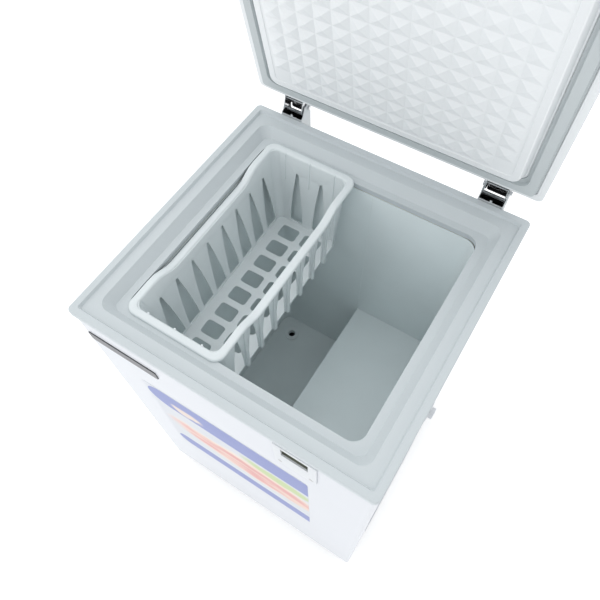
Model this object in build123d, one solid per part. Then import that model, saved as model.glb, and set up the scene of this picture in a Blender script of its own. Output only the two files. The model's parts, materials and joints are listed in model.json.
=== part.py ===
from build123d import *
import math
import os

# Single-lid chest freezer of the 100 litre class, lid standing open, basket hanging at the left.
# Frame: +X right, +Y towards the back, +Z up; origin on the floor under the middle of the cabinet.
# All lengths are millimetres. Heights written "depth" count down from the top of the collar.

# ---- driving dimensions -------------------------------------------------------------------------
RIM_W, RIM_D = 560.0, 542.0        # outer size of the plastic collar
RIM_Z = 857.0                      # height of the collar's lip above the floor
BASE_Z = 35.0                      # underside of the base pan
OVERHANG = 4.0                     # collar beyond the painted sheet
SHEET = 1.0                        # painted steel sheet
GAP = 0.2                          # air between neighbouring sheets
TUBE_LAYER = 8.2                   # space the refrigerant tubes lie in, beside liner and sheet
BEND_ROOM = 15.0                   # foam's outer corners, cut back for the tubes' bends

LID_W, LID_D, LID_H = 558.0, 546.0, 63.5
LID_FRONT_Y = -275.0
LID_LIFT = 2.5                     # lid flange above the collar's lip when shut
HINGE_Y, HINGE_Z = 297.0, RIM_Z + 15.0
OPEN_DEG = 80.0

TANK_TOP = (219.0, 210.0)          # half width and half depth of the liner under the collar
TANK_FLOOR = (206.0, 203.0)        # the same at the floor: the walls have draft
TANK_R = 24.0
TANK_TOP_Z = RIM_Z - 37.5
FLOOR_Z = 162.0
STEP_X, STEP_Z = 12.0, 402.0       # left face and top of the step over the machine bay
LINER_T = 1.2

BAY_X, BAY_Z = 70.0, 344.0         # machine bay: right of BAY_X and below BAY_Z

BASKET_X = -119.5                  # middle of the basket
BASKET_W, BASKET_L = 191.0, 432.0  # over the rim
BASKET_RIM_DEPTH = 18.0
BASKET_FLOOR_DEPTH = 200.0
SLOT_PITCH = 44.7

BODY_W, BODY_D = RIM_W - 2 * OVERHANG, RIM_D - 2 * OVERHANG
SIDE_X, FRONT_Y = BODY_W / 2, -BODY_D / 2

os.makedirs("parts", exist_ok=True)


# ---- helpers ------------------------------------------------------------------------------------
def save(name, *shapes):
    """Write one sub-part; several shapes become separate solids of one node."""
    solids = [solid for shape in shapes for solid in shape.solids()]
    export_step(solids[0] if len(solids) == 1 else Compound(children=solids), f"parts/{name}.step")


def block(x0, x1, y0, y1, z0, z1):
    return Pos((x0 + x1) / 2, (y0 + y1) / 2, (z0 + z1) / 2) * Box(x1 - x0, y1 - y0, z1 - z0)


def rounded(half_x, half_y, radius, z):
    """Rounded rectangle about the cabinet's axis, at height z."""
    return Plane.XY.offset(z) * RectangleRounded(2 * half_x, 2 * half_y, radius)


def prism(half_x, half_y, radius, z0, z1):
    return extrude(rounded(half_x, half_y, radius, z0), z1 - z0)


def frustum(low, high):
    """Loft between two rounded rectangles, each (half x, half y, radius, z)."""
    return loft([rounded(*low), rounded(*high)], ruled=True)


def upright(x, y, z0, z1, radius):
    return Pos(x, y, (z0 + z1) / 2) * Cylinder(radius, z1 - z0)


def along_x(x0, x1, y, z, radius):
    return Pos((x0 + x1) / 2, y, z) * Rot(0, 90, 0) * Cylinder(radius, x1 - x0)


def along_y(x, y0, y1, z, radius):
    return Pos(x, (y0 + y1) / 2, z) * Rot(90, 0, 0) * Cylinder(radius, y1 - y0)


def plate_yz(points, x0, x1):
    """Flat plate whose outline is given as (y, z) points."""
    outline = make_face(Polyline(*[(x0, y, z) for y, z in points], close=True))
    return extrude(outline, amount=x1 - x0, dir=(1, 0, 0))


def plate_xz(points, y0, y1):
    outline = make_face(Polyline(*[(x, y0, z) for x, z in points], close=True))
    return extrude(outline, amount=y1 - y0, dir=(0, 1, 0))


def pipe(points, radius, bend):
    """Round tube along straight runs joined by tangent arcs."""
    path = FilletPolyline(*points, radius=bend)
    return sweep(Plane(path @ 0, z_dir=path % 0) * Circle(radius), path=path)


def opened(shape):
    """Turn something drawn on the shut lid to where the open lid carries it."""
    return shape.rotate(Axis((0, HINGE_Y, HINGE_Z), (1, 0, 0)), -OPEN_DEG)


def tank_half(z):
    """Half width and half depth of the liner's inside at height z."""
    share = (z - FLOOR_Z) / (TANK_TOP_Z - FLOOR_Z)
    return [low + (high - low) * share for low, high in zip(TANK_FLOOR, TANK_TOP)]


# ---- cabinet shell ------------------------------------------------------------------------------
SHEET_TOP = RIM_Z - 9.0
STRIKE_X, STRIKE_W, STRIKE_H, STRIKE_T = 147.0, 76.0, 92.0, 3.0
STRIKE_TOP = RIM_Z - 27.0
SLOT_W, SLOT_H = 47.0, 32.0
SLOT_Z = RIM_Z - 51.0
CUP_DEEP, CUP_T = 18.0, 1.5
GRILLE_Y, GRILLE_Z, GRILLE_L, GRILLE_H = -80.0, 190.0, 220.0, 150.0
KNOB_Y, KNOB_Z = 110.0, 275.0
REAR_OPENING = (88.0, 262.0, 60.0, 325.0)      # x0, x1, z0, z1 of the machine bay's back


def strike_hole(grow, y0, y1):
    return block(STRIKE_X - SLOT_W / 2 - grow, STRIKE_X + SLOT_W / 2 + grow, y0, y1,
                 SLOT_Z - SLOT_H / 2 - grow, SLOT_Z + SLOT_H / 2 + grow)


def outer_wrapper():
    outside = block(-SIDE_X, SIDE_X, FRONT_Y, -FRONT_Y, BASE_Z, SHEET_TOP)
    outside = fillet(outside.edges().filter_by(Axis.Z).group_by(Axis.Y)[0], 6.0)
    inside = block(-SIDE_X + SHEET, SIDE_X - SHEET, FRONT_Y + SHEET, -FRONT_Y + 1,
                   BASE_Z - 1, SHEET_TOP + 1)
    inside = fillet(inside.edges().filter_by(Axis.Z).group_by(Axis.Y)[0], 5.0)
    grille = block(SIDE_X - 5, SIDE_X + 5, GRILLE_Y - GRILLE_L / 2 + 6, GRILLE_Y + GRILLE_L / 2 - 6,
                   GRILLE_Z - GRILLE_H / 2 + 6, GRILLE_Z + GRILLE_H / 2 - 6)
    shaft = along_x(SIDE_X - 5, SIDE_X + 5, KNOB_Y, KNOB_Z, 6.0)
    slot = strike_hole(CUP_T + 0.3, FRONT_Y - 5, FRONT_Y + 5)
    save("outer_wrapper", outside - inside - grille - shaft - slot)


def back_panel():
    x0, x1, z0, z1 = REAR_OPENING
    sheet = block(-SIDE_X + SHEET + GAP, SIDE_X - SHEET - GAP, -FRONT_Y - SHEET, -FRONT_Y,
                  BASE_Z + 1.8, SHEET_TOP)
    save("back_panel", sheet - block(x0, x1, -FRONT_Y - 5, -FRONT_Y + 5, z0, z1))


def rear_bay_cover():
    x0, x1, z0, z1 = REAR_OPENING
    margin, thick, louvre_h, pitch = 7.0, 1.2, 5.0, 14.0
    y0 = -FRONT_Y + GAP
    cover = block(x0 - margin, x1 + margin, y0, y0 + thick, z0 - margin, z1 + margin)
    rows = int((z1 - z0 - 30) // pitch)
    for row in range(rows):
        z = z0 + 20 + row * pitch
        for centre in (x0 + 50, x1 - 50):
            cover -= block(centre - 34, centre + 34, y0 - 2, y0 + 4, z, z + louvre_h)
    cover -= along_y(GLAND_X, y0 - 3, y0 + 6, GLAND_Z, 8.2)
    save("rear_bay_cover", cover)


GLAND_X, GLAND_Z = 240.0, 70.0


def power_gland():
    """Round entry bush for the supply lead."""
    y0 = -FRONT_Y + GAP
    body = along_y(GLAND_X, y0 - 6, y0 + 1.2, GLAND_Z, 8.0)
    body += along_y(GLAND_X, y0 + 1.3, y0 + 5, GLAND_Z, 11.0)
    save("power_gland", body + along_y(GLAND_X, y0 + 1.1, y0 + 1.4, GLAND_Z, 8.0)
         - along_y(GLAND_X, y0 - 8, y0 + 8, GLAND_Z, 4.5))


FOOT_X, FOOT_Y = 225.0, 215.0
DRAIN_X, DRAIN_Y = -160.0, 157.0
DRAIN_R, DRAIN_FLANGE_R = 9.5, 20.0            # bore and flange of the drain
PAN_T = 1.5
PAN_TOP = BASE_Z + PAN_T


def base_pan():
    pan = block(-SIDE_X + SHEET + GAP, SIDE_X - SHEET - GAP, FRONT_Y + SHEET + GAP, -FRONT_Y - SHEET - GAP,
                BASE_Z, PAN_TOP)
    pan = fillet(pan.edges().filter_by(Axis.Z).group_by(Axis.Y)[0], 5.5)
    for x in (-FOOT_X, FOOT_X):
        pan -= upright(x, -FOOT_Y, BASE_Z - 1, PAN_TOP + 1, 6.0)
    pan -= upright(DRAIN_X, DRAIN_Y, BASE_Z - 1, PAN_TOP + 1, DRAIN_R + 2.5)
    for row in range(6):
        y = -160 + row * 22
        pan -= block(110, 230, y, y + 8, BASE_Z - 1, PAN_TOP + 1)
    save("base_pan", pan)


def foam_slab(z0, z1, low, high):
    """Block between a low and a high rectangle, each (x0, x1, y0, y1)."""
    faces = [Pos((r[0] + r[1]) / 2, (r[2] + r[3]) / 2, z) * Rectangle(r[1] - r[0], r[3] - r[2])
             for r, z in ((low, z0), (high, z1))]
    return loft(faces, ruled=True)


def insulation_foam():
    """Convex foam slabs, standing off the liner and the sheet by the layer the tubes lie in."""
    low, high = PAN_TOP + GAP, TANK_TOP_Z - 0.5
    out_x, out_y = SIDE_X - SHEET - TUBE_LAYER, -FRONT_Y - SHEET - TUBE_LAYER
    floor_top, step_top = FLOOR_Z - LINER_T - GAP, STEP_Z - LINER_T - GAP
    riser_x = STEP_X + LINER_T + GAP

    def half(z):
        return [size + LINER_T + TUBE_LAYER for size in tank_half(z)]

    def side_band(side, z, x_end):
        near, far = sorted((side * half(z)[1], side * out_y))
        return (-half(z)[0], x_end, near, far)

    left = foam_slab(low, high, (-out_x, -half(low)[0], -out_y, out_y),
                     (-out_x, -half(high)[0], -out_y, out_y))
    right = foam_slab(BAY_Z, high, (half(BAY_Z)[0], out_x, -out_y, out_y),
                      (half(high)[0], out_x, -out_y, out_y))
    cut = BEND_ROOM * math.sqrt(2)
    for corner_y in (-out_y, out_y):
        left -= Pos(-out_x, corner_y, (low + high) / 2) * Rot(0, 0, 45) * Box(cut, cut, high)
        right -= Pos(out_x, corner_y, (low + high) / 2) * Rot(0, 0, 45) * Box(cut, cut, high)
    slabs = [left, right]
    slabs[0] -= upright(-FOOT_X, -FOOT_Y, low - 1, low + 8, 13.0)
    slabs[0] -= upright(-FOOT_X, -FOOT_Y, low, low + 30, 6.5)
    for side in (-1, 1):
        slabs.append(foam_slab(low, BAY_Z, side_band(side, low, BAY_X), side_band(side, BAY_Z, BAY_X)))
        upper = foam_slab(BAY_Z, high, side_band(side, BAY_Z, half(BAY_Z)[0]),
                          side_band(side, high, half(high)[0]))
        if side < 0:
            upper -= strike_hole(CUP_T + 0.5, FRONT_Y - 5, FRONT_Y + CUP_DEEP + CUP_T + 0.5)
        slabs.append(upper)
    floor = foam_slab(low, floor_top, (-half(low)[0], riser_x, -half(low)[1], half(low)[1]),
                      (-half(floor_top)[0], riser_x, -half(floor_top)[1], half(floor_top)[1]))
    slabs.append(floor - upright(DRAIN_X, DRAIN_Y, low - 1, floor_top + 1, DRAIN_R + 3.0))
    slabs.append(foam_slab(low, step_top, (riser_x, BAY_X, -half(low)[1], half(low)[1]),
                           (riser_x, BAY_X, -half(step_top)[1], half(step_top)[1])))
    slabs.append(foam_slab(BAY_Z, step_top, (BAY_X, half(BAY_Z)[0], -half(BAY_Z)[1], half(BAY_Z)[1]),
                           (BAY_X, half(step_top)[0], -half(step_top)[1], half(step_top)[1])))
    save("insulation_foam", *slabs)


# ---- refrigeration tubes laid round the liner and inside the sheet --------------------------------
EVAPORATOR_LEVELS = [450.0 + 70.0 * level for level in range(5)]
CONDENSER_LEVELS = [420.0 + 110.0 * level for level in range(4)]
TUBE_R = 3.0
RISER_X = 60.0


def stacked_turns(levels, outline, riser_x):
    """Level turns of tube, joined at the back by upright risers; outline(z) gives the half sizes."""
    tube = None
    for z in levels:
        half_x, half_y = outline(z)
        path = (Pos(0, 0, z) * RectangleRounded(2 * half_x, 2 * half_y, TANK_R)).wire()
        turn = sweep(Plane(path @ 0, z_dir=path % 0) * Circle(TUBE_R), path=path)
        tube = turn if tube is None else tube + turn
    for low, high in zip(levels, levels[1:]):
        tube += upright(riser_x, (outline(low)[1] + outline(high)[1]) / 2, low, high, TUBE_R)
    return tube


def evaporator_tube():
    """Cold tube bonded round the outside of the liner."""
    stand_off = LINER_T + 0.6 + TUBE_R

    def outside(z):
        return [size + stand_off for size in tank_half(z)]

    save("evaporator_tube", stacked_turns(EVAPORATOR_LEVELS, outside, -RISER_X))


def condenser_tube():
    """Warm tube against the inside of the painted sheet."""
    inside = (SIDE_X - SHEET - 0.8 - TUBE_R, -FRONT_Y - SHEET - 0.8 - TUBE_R)
    save("condenser_tube", stacked_turns(CONDENSER_LEVELS, lambda z: inside, RISER_X))


# ---- liner and collar ------------------------------------------------------------------------------
def tank(grow):
    """The storage space, grown outwards by a wall thickness."""
    low, high = tank_half(FLOOR_Z - grow), tank_half(TANK_TOP_Z)
    space = frustum((low[0] + grow, low[1] + grow, TANK_R + grow, FLOOR_Z - grow),
                    (high[0] + grow, high[1] + grow, TANK_R + grow, TANK_TOP_Z))
    step = block(STEP_X + grow, 300, -300, 300, 0, STEP_Z - grow)
    return space - step


def inner_liner():
    liner = tank(LINER_T) - tank(0)
    save("inner_liner", liner - upright(DRAIN_X, DRAIN_Y, FLOOR_Z - 5, FLOOR_Z + 5, DRAIN_R + 2.5))


def liner_seam_strip():
    """Cover strip over the sheet joint on the back wall."""
    half_w, thick, x = 3.0, 0.6, 9.0
    z0, z1 = STEP_Z + 2, TANK_TOP_Z - 2
    y0, y1 = tank_half(z0)[1] - 0.05, tank_half(z1)[1] - 0.05
    strip = plate_yz([(y0 - thick, z0), (y0, z0), (y1, z1), (y1 - thick, z1)], x - half_w, x + half_w)
    save("liner_seam_strip", strip)


COLLAR_T = 3.0
LIP_IN, SEAT_OUT, SEAT_IN, LEDGE_OUT, LEDGE_IN = 12.5, 15.0, 33.5, 47.5, 61.0
SEAT_DEPTH, LEDGE_DEPTH, BEAD_DEPTH, COLLAR_DEPTH, SKIRT_DEPTH = 5.5, 24.0, 29.0, 37.0, 12.0
GROOVE = 1.5


def inset(distance, radius, depth):
    return (RIM_W / 2 - distance, RIM_D / 2 - distance, radius, RIM_Z - depth)


def ring_prism(outer, inner, depth0, depth1):
    """Ring between two (inset, radius) outlines, from depth1 up to depth0."""
    tall = depth1 - depth0
    outer_face = rounded(*inset(outer[0], outer[1], depth1))
    return extrude(outer_face, tall) - extrude(rounded(*inset(inner[0], inner[1], depth1)), tall)


def top_collar():
    """Stepped moulding: lip, gasket seat, slope, basket ledge and a bead at the opening."""
    upper = prism(*inset(0, 9, 0)[:3], RIM_Z - SEAT_DEPTH - COLLAR_T, RIM_Z)
    upper = fillet(upper.edges().group_by(Axis.Z)[-1], 2.2)
    upper -= frustum(inset(SEAT_OUT, 5, SEAT_DEPTH), inset(LIP_IN, 4, 0))
    upper -= prism(*inset(SEAT_IN, 20, 0)[:3], RIM_Z - 20, RIM_Z)
    upper -= ring_prism((COLLAR_T, 2), (LIP_IN - 0.5, 4), COLLAR_T, SEAT_DEPTH + COLLAR_T + 1)
    lower_skirt = ring_prism((0, 9), (COLLAR_T, 2), SEAT_DEPTH + COLLAR_T, SKIRT_DEPTH)
    slope = frustum(inset(LEDGE_OUT - COLLAR_T, 17, LEDGE_DEPTH), inset(SEAT_IN - COLLAR_T, 23, SEAT_DEPTH))
    slope -= frustum(inset(LEDGE_OUT, 14, LEDGE_DEPTH), inset(SEAT_IN, 20, SEAT_DEPTH))
    ledge = ring_prism((LEDGE_OUT - COLLAR_T, 17), (LEDGE_IN, 22), LEDGE_DEPTH, LEDGE_DEPTH + COLLAR_T)
    flange = ring_prism((LEDGE_IN - GROOVE - COLLAR_T, 26), (LEDGE_IN, 22), LEDGE_DEPTH, BEAD_DEPTH)
    neck = ring_prism((LEDGE_IN - GROOVE - COLLAR_T, 26), (LEDGE_IN - GROOVE, 23), BEAD_DEPTH, COLLAR_DEPTH)
    save("top_collar", upper + lower_skirt + slope + ledge + flange + neck)


def drain_parts():
    """Drain: flange let into the floor, tube through the foam and a cap under the pan."""
    flange = upright(DRAIN_X, DRAIN_Y, FLOOR_Z + 0.1, FLOOR_Z + 3.1, DRAIN_FLANGE_R)
    flange = chamfer(flange.edges().group_by(Axis.Z)[-1], 0.8)
    neck = upright(DRAIN_X, DRAIN_Y, FLOOR_Z - 12, FLOOR_Z + 0.2, DRAIN_R + 2.2)
    bore = upright(DRAIN_X, DRAIN_Y, FLOOR_Z - 13, FLOOR_Z + 4, DRAIN_R)
    save("drain_flange", flange + neck - bore)
    tube = upright(DRAIN_X, DRAIN_Y, 22, FLOOR_Z - 12.2, DRAIN_R + 2.0)
    save("drain_tube", tube - upright(DRAIN_X, DRAIN_Y, 20, FLOOR_Z, DRAIN_R))
    cap = upright(DRAIN_X, DRAIN_Y, 17, 31, DRAIN_R + 5.0)
    cap -= upright(DRAIN_X, DRAIN_Y, 21.5, 32, DRAIN_R + 2.05)
    for turn in range(12):
        rib = Pos(DRAIN_R + 5.0, 0, 24) * Box(1.6, 1.6, 12)
        cap += Pos(DRAIN_X, DRAIN_Y, 0) * Rot(0, 0, 30 * turn) * rib
    save("drain_cap", cap)


# ---- machine bay -------------------------------------------------------------------------------------
def bay_lining():
    """Folded sheet that keeps the foam out of the machine bay."""
    half_y = -FRONT_Y - SHEET - 3.0
    upright_leg = block(BAY_X + GAP, BAY_X + GAP + 1, -half_y, half_y, PAN_TOP + GAP, BAY_Z - GAP)
    shelf = block(BAY_X + GAP, SIDE_X - SHEET - 1.5, -half_y, half_y, BAY_Z - GAP - 1, BAY_Z - GAP)
    save("bay_lining", upright_leg + shelf)


COMP_X, COMP_Y, COMP_R = 172.0, 50.0, 62.0
PLATE_Z = 52.0


def compressor():
    """Hermetic compressor with its foot plate, bushes and bolts."""
    shell = upright(COMP_X, COMP_Y, PLATE_Z + 3, 212, COMP_R)
    shell = fillet(shell.edges().group_by(Axis.Z)[-1], 26.0)
    shell = fillet(shell.edges().group_by(Axis.Z)[0], 14.0)
    band = upright(COMP_X, COMP_Y, 130, 136, COMP_R + 3)
    stubs = along_x(COMP_X - COMP_R - 16, COMP_X - 30, COMP_Y + 12, 172, 4.5)
    stubs += along_x(COMP_X - COMP_R - 16, COMP_X - 30, COMP_Y - 14, 96, 3.5)
    save("compressor_shell", shell + band + stubs)
    feet = [(COMP_X + dx, COMP_Y + dy) for dx in (-62, 62) for dy in (-76, 76)]
    plate = block(COMP_X - 75, COMP_X + 75, COMP_Y - 92, COMP_Y + 92, PLATE_Z, PLATE_Z + 2.6)
    bushes, bolts = [], []
    for x, y in feet:
        plate -= upright(x, y, PLATE_Z - 1, PLATE_Z + 4, 7.2)
        bush = upright(x, y, PAN_TOP + 0.1, PLATE_Z - 0.1, 12)
        bush += upright(x, y, PAN_TOP + 1, PLATE_Z + 6, 7.0)
        bushes.append(bush - upright(x, y, PAN_TOP - 1, PLATE_Z + 8, 3.3))
        nut = upright(x, y, PLATE_Z + 6.2, PLATE_Z + 11, 6.5)
        bolts.append(upright(x, y, PAN_TOP + 0.1, PLATE_Z + 12, 3.0) + nut)
    save("compressor_foot_plate", plate)
    save("compressor_bushes", *bushes)
    save("compressor_bolts", *bolts)
    relay = block(COMP_X - 22, COMP_X + 22, COMP_Y - COMP_R - 34, COMP_Y - COMP_R - 3.4, 118, 176)
    save("start_relay_cover", fillet(relay.edges().filter_by(Axis.Y), 5.0))


def refrigerant_tubes():
    start_x = COMP_X - COMP_R - 16.2
    into_x = BAY_X + GAP + 1.3
    suction = pipe([(start_x, COMP_Y + 12, 172), (start_x - 9, COMP_Y + 12, 172),
                    (start_x - 9, COMP_Y + 90, 172), (start_x - 9, COMP_Y + 90, 280),
                    (into_x, COMP_Y + 90, 280)], 3.5, 4.4)
    save("suction_tube", suction)
    discharge = pipe([(start_x, COMP_Y - 14, 96), (start_x - 8, COMP_Y - 14, 96), (start_x - 8, -100, 96),
                      (start_x - 8, -100, 250), (into_x, -100, 250)], 2.6, 3.9)
    save("discharge_tube", discharge)
    dryer = upright(110, 190, 150, 240, 9.0)
    dryer = fillet(dryer.edges(), 5.0)
    save("filter_dryer", dryer + upright(110, 190, 240, 252, 2.6) + upright(110, 190, 140, 150, 1.6))
    capillary = pipe([(110, 190, 139.8), (110, 190, 110), (110, 230, 110), (into_x, 230, 110)], 1.3, 10.0)
    save("capillary_tube", capillary)


def thermostat():
    """Thermostat behind the side panel, its scale plate outside, and the knob."""
    body = block(SIDE_X - 42, SIDE_X - SHEET - 0.4, KNOB_Y - 18, KNOB_Y + 18, KNOB_Z - 22, KNOB_Z + 22)
    save("thermostat_body", body - along_x(SIDE_X - 20, SIDE_X + 2, KNOB_Y, KNOB_Z, 3.05))
    plate = along_x(SIDE_X + GAP, SIDE_X + 2.2, KNOB_Y, KNOB_Z, 27.0)
    save("thermostat_scale_plate", plate - along_x(SIDE_X - 2, SIDE_X + 5, KNOB_Y, KNOB_Z, 5.0))
    knob = along_x(SIDE_X + 2.6, SIDE_X + 13.0, KNOB_Y, KNOB_Z, 15.0)
    knob = fillet(knob.edges().group_by(Axis.X)[-1], 2.0)
    for turn in range(24):
        flute = Pos(SIDE_X + 9.5, 0, 15.6) * Box(10, 1.6, 1.6)
        knob -= Pos(0, KNOB_Y, KNOB_Z) * Rot(15 * turn, 0, 0) * flute
    pointer = block(SIDE_X + 12.8, SIDE_X + 13.6, KNOB_Y - 1, KNOB_Y + 1, KNOB_Z + 3, KNOB_Z + 13)
    save("thermostat_knob", knob + pointer + along_x(SIDE_X - 16, SIDE_X + 4, KNOB_Y, KNOB_Z, 3.0))


def side_grille():
    """Louvred insert in the side of the machine bay."""
    y0, y1 = GRILLE_Y - GRILLE_L / 2, GRILLE_Y + GRILLE_L / 2
    z0, z1 = GRILLE_Z - GRILLE_H / 2, GRILLE_Z + GRILLE_H / 2
    rim = block(SIDE_X + 0.1, SIDE_X + 1.6, y0, y1, z0, z1)
    rim = fillet(rim.edges().filter_by(Axis.X), 8.0)
    rim += block(SIDE_X - 8, SIDE_X + 0.2, y0 + 6.5, y1 - 6.5, z0 + 6.5, z1 - 6.5)
    rim -= block(SIDE_X - 9, SIDE_X + 3, y0 + 9, y1 - 9, z0 + 9, z1 - 9)
    blades = 10
    pitch = (GRILLE_H - 18) / blades
    for row in range(blades):
        z = z0 + 9 + pitch * (row + 0.5)
        rim += Pos(SIDE_X - 3.5, GRILLE_Y, z) * Rot(0, 35, 0) * Box(10, GRILLE_L - 17.6, 1.6)
    for y in (y0 + GRILLE_L / 3, y1 - GRILLE_L / 3):
        rim += block(SIDE_X - 8, SIDE_X + 0.4, y - 1.2, y + 1.2, z0 + 8, z1 - 8)
    save("side_vent_grille", rim)


# ---- front furniture --------------------------------------------------------------------------------
def strike():
    """Plate and cup that take the lid's lock bolt, with their screws."""
    z0, z1 = STRIKE_TOP - STRIKE_H, STRIKE_TOP
    plate = block(STRIKE_X - STRIKE_W / 2, STRIKE_X + STRIKE_W / 2,
                  FRONT_Y - STRIKE_T, FRONT_Y - 0.1, z0, z1)
    plate = fillet(plate.edges().filter_by(Axis.Y), 5.0)
    plate = chamfer(plate.faces().sort_by(Axis.Y)[0].edges(), 0.8)
    plate -= strike_hole(0, FRONT_Y - 9, FRONT_Y + 1)
    screws = []
    for dx in (-28, 28):
        x, z = STRIKE_X + dx, z0 + 12
        plate -= along_y(x, FRONT_Y - 9, FRONT_Y - 1.4, z, 3.6)
        head = along_y(x, FRONT_Y - 3.2, FRONT_Y - 1.5, z, 3.4)
        screws.append(head - block(x - 2.4, x + 2.4, FRONT_Y - 4, FRONT_Y - 2.4, z - 0.4, z + 0.4))
    save("strike_plate", plate)
    save("strike_screws", *screws)
    cup = strike_hole(CUP_T, FRONT_Y + 0.1, FRONT_Y + CUP_DEEP + CUP_T)
    save("strike_cup", cup - strike_hole(0, FRONT_Y - 1, FRONT_Y + CUP_DEEP))


BADGE_X, BADGE_Z, BADGE_W, BADGE_H = -193.0, RIM_Z - 80.0, 146.0, 26.0
DECAL_X0, DECAL_X1, DECAL_TOP, DECAL_BOTTOM = -190.0, 166.0, RIM_Z - 178.0, RIM_Z - 562.0


def badge_and_decal():
    badge = block(BADGE_X - BADGE_W / 2, BADGE_X + BADGE_W / 2, FRONT_Y - 1.8, FRONT_Y - 0.1,
                  BADGE_Z - BADGE_H / 2, BADGE_Z + BADGE_H / 2)
    save("blank_badge", fillet(badge.edges().filter_by(Axis.Y), 4.0))
    decal = block(DECAL_X0, DECAL_X1, FRONT_Y - 0.3, FRONT_Y - 0.05, DECAL_BOTTOM, DECAL_TOP)
    save("front_decal", fillet(decal.edges().filter_by(Axis.Y), 12.0))


# ---- lid (drawn shut, then opened) -----------------------------------------------------------------------
LID_Z0 = RIM_Z + LID_LIFT
LID_Z1 = LID_Z0 + LID_H
LID_Y = LID_FRONT_Y + LID_D / 2
PLUG_OUT, PLUG_IN, PLUG_DROP = 41.0, 47.0, 16.5
GASKET_OUT, GASKET_IN = 14.5, 37.5
PYRAMID_INSET, PYRAMID_PITCH, PYRAMID_RISE = 63.0, 31.0, 2.4


def lid_outline(distance, radius, z):
    """Outline inside the lid's edge, level with the collar's own insets."""
    return Pos(0, 0, z) * RectangleRounded(RIM_W - 2 * distance, RIM_D - 2 * distance, radius)


def lid_box(shrink, radius, z0, z1):
    return Pos(0, LID_Y, 0) * prism(LID_W / 2 - shrink, LID_D / 2 - shrink, radius, z0, z1)


def lid_outer_shell():
    shell = lid_box(0, 10, LID_Z0 + 1.5, LID_Z1)
    shell = fillet(shell.edges().group_by(Axis.Z)[-1], 7.0)
    hollow = fillet(lid_box(1.2, 9, LID_Z0, LID_Z1 - 1.2).edges().group_by(Axis.Z)[-1], 6.0)
    shell -= hollow
    save("lid_outer_shell", opened(shell))


def lid_foam():
    core = lid_box(1.5, 9, LID_Z0 + 6.2, LID_Z1 - 1.5)
    core = fillet(core.edges().group_by(Axis.Z)[-1], 6.0)
    save("lid_foam", opened(core))


def plug(grow, z_top):
    """The raised middle of the lid's lining, which dips into the collar."""
    return loft([lid_outline(PLUG_IN - grow, 14 + grow, LID_Z0 - PLUG_DROP - grow),
                 lid_outline(PLUG_OUT - grow, 18 + grow, z_top)], ruled=True)


def lid_inner_lining():
    """Vacuum-formed lining: flange, gasket channel and a raised middle."""
    flange = lid_box(1.6, 9, LID_Z0 + 1.0, LID_Z0 + 6.0)
    rim = lid_box(0.2, 10, LID_Z0, LID_Z0 + 1.3)
    body = flange + rim
    channel_out = extrude(lid_outline(GASKET_OUT - 1.0, 6, LID_Z0 - 1), 4.0)
    channel_in = extrude(lid_outline(GASKET_IN + 1.0, 18, LID_Z0 - 1), 4.0)
    body -= channel_out - channel_in
    body += plug(0, LID_Z0 + 3)
    body -= plug(-2.2, LID_Z0 + 9)
    pyramid = pyramid_form()
    save("lid_inner_lining", opened(body + pyramid))


def pyramid_form():
    """Shallow field that carries the lining's quilted pattern."""
    z = LID_Z0 - PLUG_DROP
    face = lid_outline(PYRAMID_INSET + 3, 6, z - 1.0)
    return loft([face, lid_outline(PYRAMID_INSET, 8, z + 0.5)], ruled=True)


def lid_gasket():
    """Soft seal in the lining's channel, with a hollow bulb towards the collar's seat."""
    z0 = RIM_Z - SEAT_DEPTH + 0.5
    seal = extrude(lid_outline(GASKET_OUT + 2.5, 6, z0), LID_Z0 + 2.9 - z0)
    seal -= extrude(lid_outline(GASKET_IN - 6, 18, z0 - 1), 20)
    foot = extrude(lid_outline(GASKET_OUT, 6, LID_Z0 + 0.2), 2.7)
    foot -= extrude(lid_outline(GASKET_IN, 18, LID_Z0 - 1), 20)
    save("lid_gasket", opened(seal + foot))


HANDLE_W, HANDLE_TOP, HANDLE_BOTTOM = 72.0, RIM_Z + 44.0, RIM_Z - 80.0
LOCK_Z = SLOT_Z


def lid_handle():
    """Grip on the lid's front with a skirt that carries the lock down to the strike."""
    back = LID_FRONT_Y - 0.2
    front = back - 22
    outline = [(back, HANDLE_TOP), (back, HANDLE_BOTTOM), (front, HANDLE_BOTTOM), (front, RIM_Z - 18),
               (front - 14, RIM_Z + 6), (front - 20, RIM_Z + 30), (front - 12, RIM_Z + 38),
               (front + 8, HANDLE_TOP)]
    x0, x1 = STRIKE_X - HANDLE_W / 2, STRIKE_X + HANDLE_W / 2
    handle = plate_yz(outline, x0, x1)
    handle = fillet(handle.edges().filter_by(Axis.X), 3.0)
    handle -= along_y(STRIKE_X, front - 1, front + 12, LOCK_Z, 10.05)
    handle -= block(STRIKE_X - 8.3, STRIKE_X + 8.3, front + 11.5, back + 1, LOCK_Z - 5.3, LOCK_Z + 5.3)
    save("lid_handle", opened(handle))
    barrel = along_y(STRIKE_X, front - 2.5, front + 11, LOCK_Z, 10.0)
    barrel = chamfer(barrel.edges().group_by(Axis.Y)[0], 1.0)
    barrel -= block(STRIKE_X - 0.9, STRIKE_X + 0.9, front - 3, front + 6, LOCK_Z - 4, LOCK_Z + 4)
    save("lock_barrel", opened(barrel))
    bolt = block(STRIKE_X - 8, STRIKE_X + 8, front + 12, back + 0.2, LOCK_Z - 5, LOCK_Z + 5)
    save("lock_bolt", opened(fillet(bolt.edges().filter_by(Axis.Y), 1.5)))


# ---- hinges -----------------------------------------------------------------------------------------
HINGE_X = 204.0
HOUSING_BACK = 304.0
SPRING_LOW, SPRING_HIGH = 752.0, 800.0


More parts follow.
